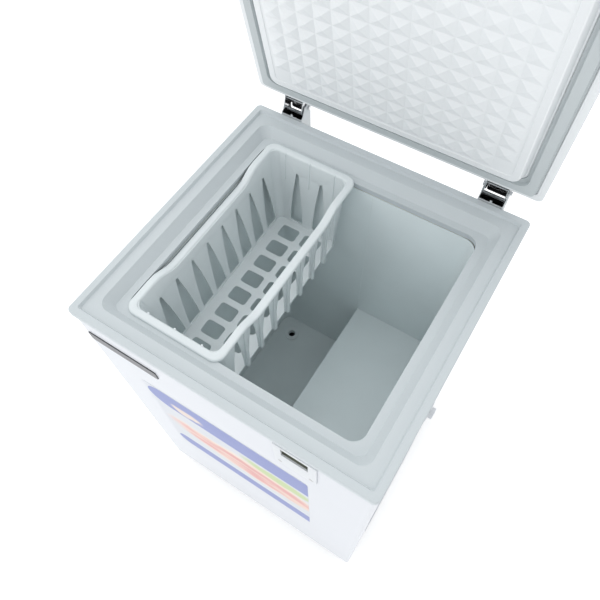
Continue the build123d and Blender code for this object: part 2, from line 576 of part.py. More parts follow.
def hinge_housing(side, x):
    """Sprung hinge's channel on the cabinet's back, with ears for the pin."""
    sheet_y = -FRONT_Y + 0.3
    inner, outer = 21.5, 23.0
    housing = block(x - outer, x + outer, HOUSING_BACK - 1.5, HOUSING_BACK, 747, RIM_Z - 10)
    housing += block(x - outer, x + outer, sheet_y, HOUSING_BACK, 747, 748.5)
    housing += block(x - inner - 0.1, x + inner + 0.1, 272.0, 273.4, RIM_Z - 20, RIM_Z + 1)
    housing += block(x - 2.0, x + 2.0, 272.0, 273.4, RIM_Z, RIM_Z + 5.5)
    for face in (-1, 1):
        near, far = sorted((x + face * inner, x + face * outer))
        cheek = plate_yz([(sheet_y, 747), (HOUSING_BACK, 747), (HOUSING_BACK, HINGE_Z + 8),
                          (284, HINGE_Z + 8), (278, RIM_Z + 6), (272, RIM_Z + 2), (272, RIM_Z - 14),
                          (sheet_y, RIM_Z - 14)], near, far)
        cheek += along_x(near, far, HINGE_Y, HINGE_Z, 10.5)
        flange_near, flange_far = sorted((x + face * inner, x + face * 35.0))
        flange = block(flange_near, flange_far, sheet_y, sheet_y + 1.5, 757, 837)
        for z in (772, 822):
            flange -= along_y(x + face * 29, sheet_y - 1, sheet_y + 3, z, 2.6)
        housing += cheek + flange
    housing -= along_x(x - outer - 1, x + outer + 1, HINGE_Y, HINGE_Z, 3.05)
    save(f"hinge_housing_{side}", housing)


def hinge_pin(side, x):
    pin = along_x(x - 24.5, x + 24.5, HINGE_Y, HINGE_Z, 3.0)
    pin += along_x(x - 26.5, x - 24.4, HINGE_Y, HINGE_Z, 5.2)
    pin += along_x(x + 24.4, x + 25.9, HINGE_Y, HINGE_Z, 4.2)
    save(f"hinge_pin_{side}", pin)


def hinge_leaf(side, x):
    """Lid half of the hinge: screwed to the lid's rear edge, its ears round the pin."""
    rear = LID_FRONT_Y + LID_D + 0.2
    leaf = block(x - 20.4, x + 20.4, rear, rear + 2, RIM_Z + 6, RIM_Z + 56)
    for z in (RIM_Z + 34, RIM_Z + 48):
        for dx in (-11, 11):
            leaf -= along_y(x + dx, rear - 1, rear + 3, z, 2.6)
    for face in (-1, 1):
        near, far = sorted((x + face * 18.8, x + face * 20.4))
        ear = plate_yz([(rear, RIM_Z + 6), (278, RIM_Z + 3), (290, RIM_Z - 3.8), (301.5, RIM_Z - 4.2),
                        (306, HINGE_Z), (HINGE_Y + 3, HINGE_Z + 8), (rear, RIM_Z + 56)], near, far)
        leaf += ear + along_x(near, far, HINGE_Y, HINGE_Z, 9.0)
    for y, z, tilt, wide in ((288.0, RIM_Z + 9.0, 80, 5.0), (279.0, RIM_Z + 7.5, -10, 4.0)):
        leaf += Pos(x, y, z) * Rot(tilt, 0, 0) * Box(40.8, 1.8, wide)
    leaf += block(x - 20.4, x + 20.4, 292.5, 301.2, RIM_Z - 4.0, RIM_Z - 2.4)
    leaf -= along_x(x - 30, x + 30, HINGE_Y, HINGE_Z, 3.06)
    save(f"hinge_leaf_{side}", opened(leaf))


def hinge_plunger(side, x):
    """Spring plate with the push link that comes up to the leaf."""
    plate = block(x - 19.5, x + 19.5, 276, 296, SPRING_HIGH + 0.2, SPRING_HIGH + 3.2)
    link = block(x - 2.2, x + 2.2, 281.5, 285.5, SPRING_HIGH + 3, RIM_Z - 11)
    save(f"hinge_plunger_{side}", plate + link)


def hinge_springs(side, x):
    coils = []
    wire, radius, tall = 1.1, 7.0, SPRING_HIGH - SPRING_LOW - 2.4
    for dx in (-10, 10):
        helix = Helix(pitch=tall / 9, height=tall, radius=radius)
        coil = sweep(Plane(helix @ 0, z_dir=helix % 0) * Circle(wire), path=helix, is_frenet=True)
        coils.append(Pos(x + dx, 286, SPRING_LOW + 1.2) * coil)
    save(f"hinge_springs_{side}", *coils)


def hinge_screws():
    body_screws, lid_screws = [], []
    sheet_y = -FRONT_Y + 0.3
    rear = LID_FRONT_Y + LID_D + 0.2
    for x in (-HINGE_X, HINGE_X):
        for face in (-1, 1):
            for z in (772, 822):
                head = along_y(x + face * 29, sheet_y + 1.6, sheet_y + 4.0, z, 4.6)
                body_screws.append(fillet(head.edges().group_by(Axis.Y)[-1], 1.2))
        for z in (RIM_Z + 34, RIM_Z + 48):
            for dx in (-11, 11):
                head = along_y(x + dx, rear + 2.1, rear + 4.2, z, 4.4)
                lid_screws.append(opened(fillet(head.edges().group_by(Axis.Y)[-1], 1.1)))
    save("hinge_body_screws", *body_screws)
    save("hinge_lid_screws", *lid_screws)


# ---- basket -----------------------------------------------------------------------------------------
BASKET_RIM_Z = RIM_Z - BASKET_RIM_DEPTH
BASKET_FLOOR_Z = RIM_Z - BASKET_FLOOR_DEPTH
RIM_BAND, RIM_T, WALL_T = 14.0, 5.7, 2.4
RIM_CORNER, WALL_CORNER = 20.0, 14.0           # plan radii of the rim and of the walls under it
DIP, DIP_FLAT, DIP_END = 15.0, 108.0, 146.0
FLOOR_HALF = (68.0, 187.0)         # half width and half length inside the basket's floor
SLOT_TIP_DEPTH, SLOT_WIDE = 58.0, 31.0


def basket_space(grow, z_top):
    """Inside of the basket, grown by a wall thickness: tapered towards the floor."""
    top_half = (BASKET_W / 2 - RIM_BAND, BASKET_L / 2 - RIM_BAND)
    return Pos(BASKET_X, 0, 0) * loft(
        [rounded(FLOOR_HALF[0] + grow, FLOOR_HALF[1] + grow, 12 + grow, BASKET_FLOOR_Z - grow),
         rounded(top_half[0] + grow, top_half[1] + grow, WALL_CORNER + grow, z_top)], ruled=True)


def tapered_slot(wide, z0, z1):
    """Slot outline in the (across, z) plane: round tip at z1, broad at z0."""
    tip = 2.6
    return [(-wide / 2, z0), (wide / 2, z0), (wide / 2 - 1.5, z0 + 45), (tip, z1 - 3), (tip * 0.5, z1),
            (-tip * 0.5, z1), (-tip, z1 - 3), (-wide / 2 + 1.5, z0 + 45)]


def dip_profile(drop):
    """Rim line of a long side as (y, z) points, lowered by a thickness."""
    z = BASKET_RIM_Z - drop
    reach = BASKET_L / 2 - RIM_BAND - 16
    return [(-reach, z), (-DIP_END, z), (-DIP_FLAT, z - DIP), (DIP_FLAT, z - DIP), (DIP_END, z), (reach, z)]


def basket():
    z0, z1 = BASKET_FLOOR_Z, RIM_Z - SLOT_TIP_DEPTH
    half_w, half_l = BASKET_W / 2, BASKET_L / 2
    left, right = BASKET_X - half_w, BASKET_X + half_w
    reach = half_l - RIM_BAND - 16
    body = basket_space(WALL_T, BASKET_RIM_Z - 0.5) - basket_space(0, BASKET_RIM_Z - 0.4)
    cutter = [(-DIP_END, BASKET_RIM_Z + 1), (-DIP_END, BASKET_RIM_Z - 1), (-DIP_FLAT, BASKET_RIM_Z - DIP - 1),
              (DIP_FLAT, BASKET_RIM_Z - DIP - 1), (DIP_END, BASKET_RIM_Z - 1), (DIP_END, BASKET_RIM_Z + 1)]
    for x0, x1 in ((left - 1, left + 40), (right - 40, right + 1)):
        body -= plate_yz(cutter, x0, x1)
    rim = prism(half_w, half_l, RIM_CORNER, BASKET_RIM_Z - RIM_T, BASKET_RIM_Z)
    rim -= prism(half_w - RIM_BAND, half_l - RIM_BAND, RIM_CORNER - 10, BASKET_RIM_Z - RIM_T, BASKET_RIM_Z)
    rim = Pos(BASKET_X, 0, 0) * rim
    rim -= block(left - 1, right + 1, -reach, reach, BASKET_RIM_Z - 30, BASKET_RIM_Z + 1)
    for x0, x1 in ((left, left + RIM_BAND), (right - RIM_BAND, right)):
        rim += plate_yz(dip_profile(0) + dip_profile(RIM_T)[::-1], x0, x1)
    body += rim
    for row in range(8):
        y = (row - 3.5) * SLOT_PITCH
        outline = [(y + across, z) for across, z in tapered_slot(SLOT_WIDE, z0, z1)]
        body -= plate_yz(outline, left - 5, right + 5)
    for x in (BASKET_X - 27, BASKET_X + 27):
        outline = [(x + across, z) for across, z in tapered_slot(SLOT_WIDE - 1, z0, z1)]
        body -= plate_xz(outline, -half_l - 5, half_l + 5)
        for row in range(8):
            y = (row - 3.5) * SLOT_PITCH
            hole = Pos(x, y, z0 - WALL_T - 1) * extrude(RectangleRounded(41, 31, 7), WALL_T + 2)
            body -= hole
    save("storage_basket", body)


# ---- feet and rollers -------------------------------------------------------------------------------
ROLLER_R = 16.0


def feet_and_rollers():
    nuts = []
    for side, x in (("left", -FOOT_X), ("right", FOOT_X)):
        foot = upright(x, -FOOT_Y, 0, 9, 18.0)
        foot = fillet(foot.edges().group_by(Axis.Z)[-1], 3.0)
        save(f"levelling_foot_{side}", foot + upright(x, -FOOT_Y, 8, 60, 5.0))
        nut = upright(x, -FOOT_Y, PAN_TOP + 0.1, PAN_TOP + 6.5, 11.0)
        nuts.append(nut - upright(x, -FOOT_Y, PAN_TOP, PAN_TOP + 8, 5.05))
    save("foot_nuts", *nuts)
    brackets, axles = [], []
    for side, x in (("left", -FOOT_X), ("right", FOOT_X)):
        top = block(x - 19, x + 19, FOOT_Y - 20, FOOT_Y + 20, BASE_Z - 2.1, BASE_Z - 0.1)
        for face in (-1, 1):
            near, far = sorted((x + face * 15, x + face * 17))
            top += plate_yz([(FOOT_Y - 16, BASE_Z - 2), (FOOT_Y - 7, 9), (FOOT_Y + 7, 9),
                             (FOOT_Y + 16, BASE_Z - 2)], near, far)
        brackets.append(top - along_x(x - 20, x + 20, FOOT_Y, ROLLER_R, 3.02))
        heads = [along_x(x + start, x + start + 1.6, FOOT_Y, ROLLER_R, 4.6) for start in (-19.5, 17.9)]
        axles.append(along_x(x - 18, x + 18, FOOT_Y, ROLLER_R, 3.0) + heads[0] + heads[1])
        roller = along_x(x - 13, x + 13, FOOT_Y, ROLLER_R, ROLLER_R)
        roller = fillet(roller.edges(), 1.5)
        save(f"rear_roller_{side}", roller - along_x(x - 15, x + 15, FOOT_Y, ROLLER_R, 3.06))
    save("roller_brackets", *brackets)
    save("roller_axles", *axles)


def build():
    outer_wrapper()
    back_panel()
    rear_bay_cover()
    power_gland()
    base_pan()
    insulation_foam()
    evaporator_tube()
    condenser_tube()
    inner_liner()
    liner_seam_strip()
    top_collar()
    drain_parts()
    bay_lining()
    compressor()
    refrigerant_tubes()
    thermostat()
    side_grille()
    strike()
    badge_and_decal()
    lid_outer_shell()
    lid_foam()
    lid_inner_lining()
    lid_gasket()
    lid_handle()
    for side, x in (("left", -HINGE_X), ("right", HINGE_X)):
        hinge_housing(side, x)
        hinge_pin(side, x)
        hinge_leaf(side, x)
        hinge_plunger(side, x)
        hinge_springs(side, x)
    hinge_screws()
    basket()
    feet_and_rollers()


build()
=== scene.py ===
import json
import logging
import math
from dataclasses import dataclass, field
from enum import Enum
from typing import Sequence

import bmesh
import bpy
from mathutils import Matrix, Vector


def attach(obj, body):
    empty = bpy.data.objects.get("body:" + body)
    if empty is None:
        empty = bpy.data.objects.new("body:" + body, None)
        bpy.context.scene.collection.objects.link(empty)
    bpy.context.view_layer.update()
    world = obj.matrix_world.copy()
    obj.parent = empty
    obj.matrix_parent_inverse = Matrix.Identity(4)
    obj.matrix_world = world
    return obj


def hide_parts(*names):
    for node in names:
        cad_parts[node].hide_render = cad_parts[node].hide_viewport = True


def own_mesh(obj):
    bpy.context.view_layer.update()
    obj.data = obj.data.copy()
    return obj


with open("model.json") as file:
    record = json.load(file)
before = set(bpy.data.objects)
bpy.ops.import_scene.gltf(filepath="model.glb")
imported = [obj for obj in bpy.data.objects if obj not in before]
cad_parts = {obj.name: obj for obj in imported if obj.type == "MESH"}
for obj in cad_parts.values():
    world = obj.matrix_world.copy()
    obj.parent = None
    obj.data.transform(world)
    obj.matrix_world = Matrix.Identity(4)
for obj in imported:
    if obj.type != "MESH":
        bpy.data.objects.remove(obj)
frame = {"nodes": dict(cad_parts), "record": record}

LOG = logging.getLogger("chest_freezer")

MM = 0.001
RIM_TOP = 857.0
LID_UNDERSIDE = RIM_TOP + 2.5
HINGE_PIN = Vector((0.0, 297.0, RIM_TOP + 15.0)) * MM
OPEN_ANGLE = math.radians(-80.0)

CLOUD_SIZE = 0.16
CLOUD_LEVELS = (0.3, 0.7)
SPECK_SIZE = 0.02
SPECK_LEVELS = (0.68, 0.80)
SOIL_SHADE = 0.72
COAT_ROUGHNESS = 0.12
WELD_DISTANCE = 0.002

Point2 = tuple[float, float]
Point3 = tuple[float, float, float]
Colour = tuple[float, float, float]


# ---- shader writing -----------------------------------------------------------------------------


class Wire:
    """A shader socket that takes part in sums and products."""

    def __init__(self, graph: "Graph", socket: bpy.types.NodeSocket) -> None:
        """Wrap a socket.

        Args:
            graph: the graph the socket belongs to.
            socket: an output socket of one of its nodes.
        """
        self.graph = graph
        self.socket = socket

    def _math(self, operation: str, *values: "Wire | float") -> "Wire":
        """Add one Math node and return its result."""
        return self.graph.add("ShaderNodeMath", {"operation": operation}, dict(enumerate(values)))

    def __add__(self, other: "Wire | float") -> "Wire":
        """Sum of two values."""
        return self._math("ADD", self, other)

    def __sub__(self, other: "Wire | float") -> "Wire":
        """Difference of two values."""
        return self._math("SUBTRACT", self, other)

    def __rsub__(self, other: float) -> "Wire":
        """A number less this value."""
        return self._math("SUBTRACT", other, self)

    def __mul__(self, other: "Wire | float") -> "Wire":
        """Product of two values."""
        return self._math("MULTIPLY", self, other)

    def __truediv__(self, other: "Wire | float") -> "Wire":
        """Quotient of two values."""
        return self._math("DIVIDE", self, other)

    __radd__ = __add__
    __rmul__ = __mul__

    def size(self) -> "Wire":
        """Absolute value."""
        return self._math("ABSOLUTE", self)

    def root(self) -> "Wire":
        """Square root."""
        return self._math("SQRT", self)

    def most(self, other: "Wire | float") -> "Wire":
        """The larger of two values."""
        return self._math("MAXIMUM", self, other)

    def ramp(self, low: float, high: float) -> "Wire":
        """Smooth step from 0 at low to 1 at high.

        Args:
            low: value that gives 0.
            high: value that gives 1; it may be below low.

        Returns:
            The stepped value.
        """
        settings = {"interpolation_type": "SMOOTHSTEP"}
        return self.graph.add("ShaderNodeMapRange", settings, {0: self, 1: low, 2: high})


class Graph:
    """The node tree of one material."""

    def __init__(self, name: str) -> None:
        """Start a material with an empty Principled shader.

        Args:
            name: the material's name.
        """
        self.material = bpy.data.materials.new(name)
        self.material.use_nodes = True
        self.nodes = self.material.node_tree.nodes
        self.links = self.material.node_tree.links
        self.shader = self.nodes["Principled BSDF"]

    def add(self, kind: str, settings: dict, values: dict, output: int | str = 0) -> Wire:
        """Add a node.

        Args:
            kind: the node's type name.
            settings: node properties, set before its sockets.
            values: input name or index to a number, a tuple or a Wire.
            output: the output to return.

        Returns:
            The chosen output.
        """
        node = self.nodes.new(kind)
        for key, value in settings.items():
            setattr(node, key, value)
        for key, value in values.items():
            self.feed(node.inputs[key], value)
        return Wire(self, node.outputs[output])

    def feed(self, socket: bpy.types.NodeSocket, value: "Wire | float | Sequence[float]") -> None:
        """Link a Wire to a socket, or set the socket's own value."""
        if isinstance(value, Wire):
            self.links.new(value.socket, socket)
        else:
            socket.default_value = value

    def place(self) -> Wire:
        """Position on the object, in metres."""
        return self.add("ShaderNodeTexCoord", {}, {}, "Object")

    def axes(self) -> tuple[Wire, Wire, Wire]:
        """Position along X, Y and Z, in millimetres."""
        split = self.add("ShaderNodeSeparateXYZ", {}, {0: self.place()}).socket.node
        return tuple(Wire(self, split.outputs[axis]) * 1000.0 for axis in range(3))

    def stretch(self, vector: Wire, amount: Point3) -> Wire:
        """Scale a position along each axis."""
        return self.add("ShaderNodeVectorMath", {"operation": "MULTIPLY"}, {0: vector, 1: amount})

    def noise(self, vector: Wire, size: float, detail: float = 3.0) -> Wire:
        """Cloudy noise from 0 to 1.

        Args:
            vector: position.
            size: feature size in metres.
            detail: octaves.

        Returns:
            The noise.
        """
        values = {"Vector": vector, "Scale": 1.0 / size, "Detail": detail}
        return self.add("ShaderNodeTexNoise", {"noise_dimensions": "3D"}, values)

    def blend(self, factor: "Wire | float", low: "Wire | Colour", high: "Wire | Colour") -> Wire:
        """Mix two colours.

        Args:
            factor: 0 for low, 1 for high.
            low: first colour.
            high: second colour.

        Returns:
            The mixed colour.
        """
        low, high = (c if isinstance(c, Wire) else (*c, 1.0) for c in (low, high))
        return self.add("ShaderNodeMix", {"data_type": "RGBA"}, {0: factor, 6: low, 7: high}, 2)

    def bump(self, height: Wire, depth: float) -> None:
        """Raise the surface by a height map.

        Args:
            height: height from 0 to 1.
            depth: relief in metres.
        """
        normal = self.add("ShaderNodeBump", {}, {"Strength": 1.0, "Distance": depth, "Height": height})
        self.feed(self.shader.inputs["Normal"], normal)


class Grain(Enum):
    """Surface textures a maker would name, as stretch of the noise along X, Y and Z."""

    MOULDED = (1.0, 1.0, 1.0)
    ROLLED = (1.0, 1.0, 1.0)
    BRUSHED = (1.0, 1.0, 0.04)
    DRAWN = (0.05, 1.0, 1.0)


@dataclass(frozen=True)
class Finish:
    """One finish: its colour, gloss, fine grain and slow variation."""

    name: str
    colour: Colour
    roughness: float
    metallic: float = 0.0
    coat: float = 0.0
    grain: Grain = Grain.MOULDED
    grain_size: float = 0.0012
    relief: float = 0.00002
    mottling: float = 0.03
    gloss_spread: float = 0.08
    soil: float = 0.06
    specular: float = 0.5

    def base(self, graph: Graph, cloud: Wire) -> Wire:
        """Base colour, with its slow variation.

        Args:
            graph: the material's graph.
            cloud: slow noise from 0 to 1.

        Returns:
            The colour.
        """
        dark = tuple(c * (1.0 - self.mottling) for c in self.colour)
        light = tuple(min(1.0, c * (1.0 + self.mottling)) for c in self.colour)
        return graph.blend(cloud.ramp(*CLOUD_LEVELS), dark, light)

    def material(self) -> bpy.types.Material:
        """Write the material.

        Returns:
            The finished material.
        """
        graph = Graph(self.name)
        place = graph.place()
        cloud = graph.noise(place, CLOUD_SIZE, 2.0)
        grain = graph.noise(graph.stretch(place, self.grain.value), self.grain_size, 2.0)
        specks = graph.noise(place, SPECK_SIZE, 5.0).ramp(*SPECK_LEVELS) * self.soil
        shade = tuple(c * SOIL_SHADE for c in self.colour)
        graph.feed(graph.shader.inputs["Base Color"], graph.blend(specks, self.base(graph, cloud), shade))
        graph.feed(graph.shader.inputs["Roughness"], self.roughness + (cloud - 0.5) * self.gloss_spread)
        graph.shader.inputs["Metallic"].default_value = self.metallic
        graph.shader.inputs["Specular IOR Level"].default_value = self.specular
        graph.shader.inputs["Coat Weight"].default_value = self.coat
        graph.shader.inputs["Coat Roughness"].default_value = COAT_ROUGHNESS
        graph.bump(grain, self.relief)
        return graph.material


@dataclass(frozen=True)
class FilmFinish(Finish):
    """Printed film on the front: bands and soft patches on the sheet's white."""

    band: Colour = (0.24, 0.28, 0.56)
    rose: Colour = (0.76, 0.36, 0.34)
    cream: Colour = (0.88, 0.74, 0.62)
    leaf: Colour = (0.56, 0.66, 0.34)
    band_span: Point2 = (-186.0, 260.0)
    upper_band: Point2 = (180.0, 272.0)
    lower_band: Point2 = (486.0, 548.0)
    band_edge: float = 0.6
    wander: float = 70.0

    def base(self, graph: Graph, cloud: Wire) -> Wire:
        """Bands and patches.

        Args:
            graph: the material's graph.
            cloud: slow noise from 0 to 1.

        Returns:
            The colour.
        """
        x, _, z = graph.axes()
        down = RIM_TOP - z
        wobble = (graph.noise(graph.place(), 0.07, 3.0) - 0.5) * self.wander

        def patch(centre: Point2, half: Point2, soft: float) -> Wire:
            """Soft oval round a centre in (x, depth) millimetres."""
            across = (x + wobble - centre[0]) / half[0]
            along = (down + wobble * 0.6 - centre[1]) / half[1]
            return (across * across + along * along).root().ramp(1.0 + soft, 1.0 - soft)

        def stripe(levels: Point2) -> Wire:
            """Band with rounded ends, between two depths."""
            top, bottom = levels
            left, right = self.band_span
            middle, half = (top + bottom) / 2, (bottom - top) / 2
            reach = ((x - (left + right) / 2).size() - ((right - left) / 2 - half)).most(0.0)
            fall = down - middle
            return (reach * reach + fall * fall).root().ramp(half + self.band_edge, half - self.band_edge)

        colour = graph.blend(cloud.ramp(*CLOUD_LEVELS), self.colour, tuple(c * 0.98 for c in self.colour))
        streaks = graph.noise(graph.stretch(graph.place(), (0.5, 1.0, 2.4)), 0.05, 4.0).ramp(0.36, 0.60)
        colour = graph.blend(patch((20.0, 380.0), (170.0, 62.0), 0.2), colour, self.cream)
        blush = patch((15.0, 385.0), (165.0, 48.0), 0.25) * (0.35 + streaks * 0.65)
        colour = graph.blend(blush, colour, self.rose)
        colour = graph.blend(patch((100.0, 305.0), (74.0, 26.0), 0.25), colour, self.leaf)
        colour = graph.blend(stripe(self.upper_band), colour, self.band)
        colour = graph.blend(patch((-96.0, 248.0), (34.0, 22.0), 0.2) * 0.85, colour, self.cream)
        return graph.blend(stripe(self.lower_band), colour, self.band)


@dataclass(frozen=True)
class HousingFinishWithPaintedShade(Finish):
    """Hinge channel: grey enamel outside, with painted shade (near-black) inside the channel."""

    hinge_x: float = 204.0
    hollow_half: float = 21.7
    hollow_y: Point2 = (273.6, 302.7)
    hollow_top: float = RIM_TOP + 4.0
    blur: float = 0.2
    top_blur: float = 2.0

    def base(self, graph: Graph, cloud: Wire) -> Wire:
        """Grey outside, painted shade in the hollow.

        Args:
            graph: the material's graph.
            cloud: slow noise from 0 to 1.

        Returns:
            The colour.
        """
        x, y, z = graph.axes()
        # Mask of each hinge channel's hollow, which is painted near-black as painted shade.
        painted_shade_mask = (x.size() - self.hinge_x).size().ramp(self.hollow_half + self.blur, self.hollow_half)
        painted_shade_mask = painted_shade_mask * y.ramp(self.hollow_y[0] - self.blur, self.hollow_y[0])
        painted_shade_mask = painted_shade_mask * y.ramp(self.hollow_y[1] + self.blur, self.hollow_y[1])
        painted_shade_mask = painted_shade_mask * z.ramp(self.hollow_top + self.top_blur, self.hollow_top)
        return graph.blend(painted_shade_mask, super().base(graph, cloud), (0.012, 0.012, 0.012))


SHEET_WHITE: Colour = (0.69, 0.71, 0.75)

FINISHES: dict[str, Finish] = {
    "white_sheet": Finish("white_enamelled_sheet", SHEET_WHITE, 0.34, coat=0.15, grain=Grain.ROLLED,
                          grain_size=0.0022, relief=0.00003, mottling=0.012, soil=0.02),
    "plated_sheet": Finish("plated_sheet", (0.55, 0.56, 0.57), 0.42, 0.9, grain=Grain.BRUSHED,
                           grain_size=0.0008, mottling=0.025, gloss_spread=0.05, soil=0.12),
    "foam": Finish("rigid_foam", (0.82, 0.74, 0.46), 0.9, grain_size=0.0015, relief=0.0002, mottling=0.1),
    "liner_sheet": Finish("coated_liner_sheet", (0.86, 0.93, 0.94), 0.24, coat=0.3, grain=Grain.ROLLED,
                          grain_size=0.03, relief=0.00025, mottling=0.02, gloss_spread=0.1),
    "collar_plastic": Finish("collar_moulding", (0.60, 0.645, 0.66), 0.50, mottling=0.012, soil=0.03,
                             specular=0.36),
    "lid_plastic": Finish("lid_lining_moulding", (0.86, 0.88, 0.89), 0.36, coat=0.12, mottling=0.012,
                          soil=0.03),
    "basket_plastic": Finish("basket_moulding", (0.74, 0.79, 0.80), 0.42, coat=0.1, mottling=0.015,
                             soil=0.03),
    "light_plastic": Finish("light_moulding", (0.72, 0.74, 0.76), 0.45, mottling=0.02),
    "black_plastic": Finish("black_moulding", (0.025, 0.025, 0.028), 0.5, mottling=0.1),
    "black_rubber": Finish("black_rubber", (0.02, 0.02, 0.02), 0.75, mottling=0.1, relief=0.00005),
    "seal_rubber": Finish("soft_seal", (0.56, 0.60, 0.61), 0.6, mottling=0.03, relief=0.00004),
    "black_enamel": Finish("black_enamel", (0.02, 0.02, 0.022), 0.28, coat=0.5, relief=0.00006),
    # The hinge enamel carries painted shade, near-black, in the hollow of each hinge channel.
    "hinge_enamel": HousingFinishWithPaintedShade("grey_hinge_enamel_and_painted_shade", (0.60, 0.63, 0.64), 0.4, mottling=0.03, soil=0.1),
    "copper": Finish("drawn_copper", (0.76, 0.38, 0.22), 0.33, 1.0, grain=Grain.DRAWN, mottling=0.12,
                     soil=0.3),
    "chrome": Finish("bright_plate", (0.62, 0.63, 0.64), 0.16, 1.0, grain_size=0.004, mottling=0.05,
                     soil=0.15),
    "screw_steel": Finish("zinc_plated_steel", (0.58, 0.58, 0.57), 0.36, 1.0, mottling=0.08, soil=0.25),
    "badge_metal": Finish("satin_badge", (0.10, 0.10, 0.11), 0.34, 0.6, grain=Grain.DRAWN, mottling=0.04),
    "cup_metal": Finish("olive_passivated_steel", (0.20, 0.21, 0.17), 0.5, 0.35, mottling=0.1, soil=0.2),
    "drain_plastic": Finish("drain_moulding", (0.84, 0.90, 0.91), 0.36, coat=0.15, mottling=0.02, soil=0.1),
    "decal_film": FilmFinish("printed_film", SHEET_WHITE, 0.42, relief=0.00001, soil=0.01, specular=0.22),
}

OWN_FINISHES: dict[str, str] = {"strike_cup": "cup_metal", "drain_flange": "drain_plastic"}


# ---- mesh writing -------------------------------------------------------------------------------


def rounded_outline(half: Point2, radius: float, centre: Point2 = (0.0, 0.0), steps: int = 8) -> list[Point2]:
    """Points round a rounded rectangle, anticlockwise.

    Args:
        half: half sizes.
        radius: corner radius.
        centre: middle of the rectangle.
        steps: segments in each corner.

    Returns:
        The points.
    """
    points = []
    for turn, (sx, sy) in enumerate(((1, 1), (-1, 1), (-1, -1), (1, -1))):
        for step in range(steps + 1):
            angle = math.radians(90.0 * (turn + step / steps))
            points.append((centre[0] + sx * (half[0] - radius) + radius * math.cos(angle),
                           centre[1] + sy * (half[1] - radius) + radius * math.sin(angle)))
    return points


def smooth_step(low: float, high: float, value: float) -> float:
    """Smooth rise from 0 at low to 1 at high."""
    share = min(1.0, max(0.0, (value - low) / (high - low)))
    return share * share * (3.0 - 2.0 * share)


class Shape:
    """A mesh under construction, in millimetres."""

    def __init__(self) -> None:
        """Start empty."""
        self.points: list[Point3] = []
        self.faces: list[tuple[int, ...]] = []

    def loft(self, rings: Sequence[Sequence[Point3]], closed: bool = False, capped: bool = True) -> None:
        """Skin a run of rings that have the same number of points.

        Args:
            rings: the rings.
            closed: whether the last ring joins the first.
            capped: whether flat ends close the first and last ring.
        """
        start, count = len(self.points), len(rings[0])
        for ring in rings:
            self.points.extend(ring)
        spans = len(rings) if closed else len(rings) - 1
        for level in range(spans):
            a, b = start + level * count, start + (level + 1) % len(rings) * count
            for i in range(count):
                j = (i + 1) % count
                self.faces.append((a + i, a + j, b + j, b + i))
        if capped and not closed:
            self.faces.append(tuple(range(start, start + count))[::-1])
            self.faces.append(tuple(range(start + (len(rings) - 1) * count, start + len(rings) * count)))

    def absorb(self, mesh: bpy.types.Mesh) -> None:
        """Add a mesh that is already in millimetres, and drop it."""
        start = len(self.points)
        self.points.extend(tuple(v.co) for v in mesh.vertices)
        self.faces.extend(tuple(start + i for i in p.vertices) for p in mesh.polygons)
        bpy.data.meshes.remove(mesh)

    def piece(self, name: str, body: str, slot: str, nodes: Sequence[str], move: Matrix | None = None,
              smooth: float = 35.0) -> bpy.types.Object:
        """Turn the shape into a piece of the model.

        Args:
            name: the piece's name.
            body: the body it rides on.
            slot: the record's material slot; not used.
            nodes: CAD nodes it stands for.
            move: a placement in metres.
            smooth: edges flatter than this many degrees are shaded smooth.

        Returns:
            The piece.
        """
        mesh = bpy.data.meshes.new(name)
        mesh.from_pydata([Vector(p) * MM for p in self.points], [], self.faces)
        if move is not None:
            mesh.transform(move)
        work = bmesh.new()
        work.from_mesh(mesh)
        bmesh.ops.recalc_face_normals(work, faces=work.faces)
        work.to_mesh(mesh)
        work.free()
        piece = bpy.data.objects.new(name, mesh)
        bpy.context.scene.collection.objects.link(piece)
        for polygon in mesh.polygons:
            polygon.use_smooth = True
        mesh.set_sharp_from_angle(angle=math.radians(smooth))
        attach(piece, body)
        if nodes:
            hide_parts(*nodes)
        LOG.info("built %s: %d faces on %s", name, len(mesh.polygons), body)
        return piece


def cut_sheet(outline: Sequence[Point2], holes: Sequence[Sequence[Point2]], thick: float, edge: float,
              place: Matrix) -> bpy.types.Mesh:
    """Flat plate with holes and eased edges.

    Args:
        outline: the plate's outline.
        holes: outlines of its holes.
        thick: thickness.
        edge: radius of the eased edges.
        place: matrix to where the plate's middle plane goes, in millimetres.

    Returns:
        The mesh, in millimetres.
    """
    curve = bpy.data.curves.new("plate", "CURVE")
    curve.dimensions = "2D"
    curve.fill_mode = "BOTH"
    curve.extrude = thick / 2 - edge
    curve.bevel_depth = edge
    curve.bevel_resolution = 2
    curve.offset = -edge
    for number, ring in enumerate((outline, *holes)):
        spline = curve.splines.new("POLY")
        spline.points.add(len(ring) - 1)
        ordered = ring if number == 0 else ring[::-1]
        for point, (u, v) in zip(spline.points, ordered):
            point.co = (u, v, 0.0, 1.0)
        spline.use_cyclic_u = True
    holder = bpy.data.objects.new("plate", curve)
    bpy.context.scene.collection.objects.link(holder)
    bpy.context.view_layer.update()
    evaluated = holder.evaluated_get(bpy.context.evaluated_depsgraph_get())
    mesh = bpy.data.meshes.new_from_object(evaluated)
    bpy.data.objects.remove(holder)
    bpy.data.curves.remove(curve)
    work = bmesh.new()
    work.from_mesh(mesh)
    bmesh.ops.remove_doubles(work, verts=work.verts, dist=WELD_DISTANCE)
    work.to_mesh(mesh)
    work.free()
    mesh.transform(place)
    return mesh


# ---- basket -------------------------------------------------------------------------------------


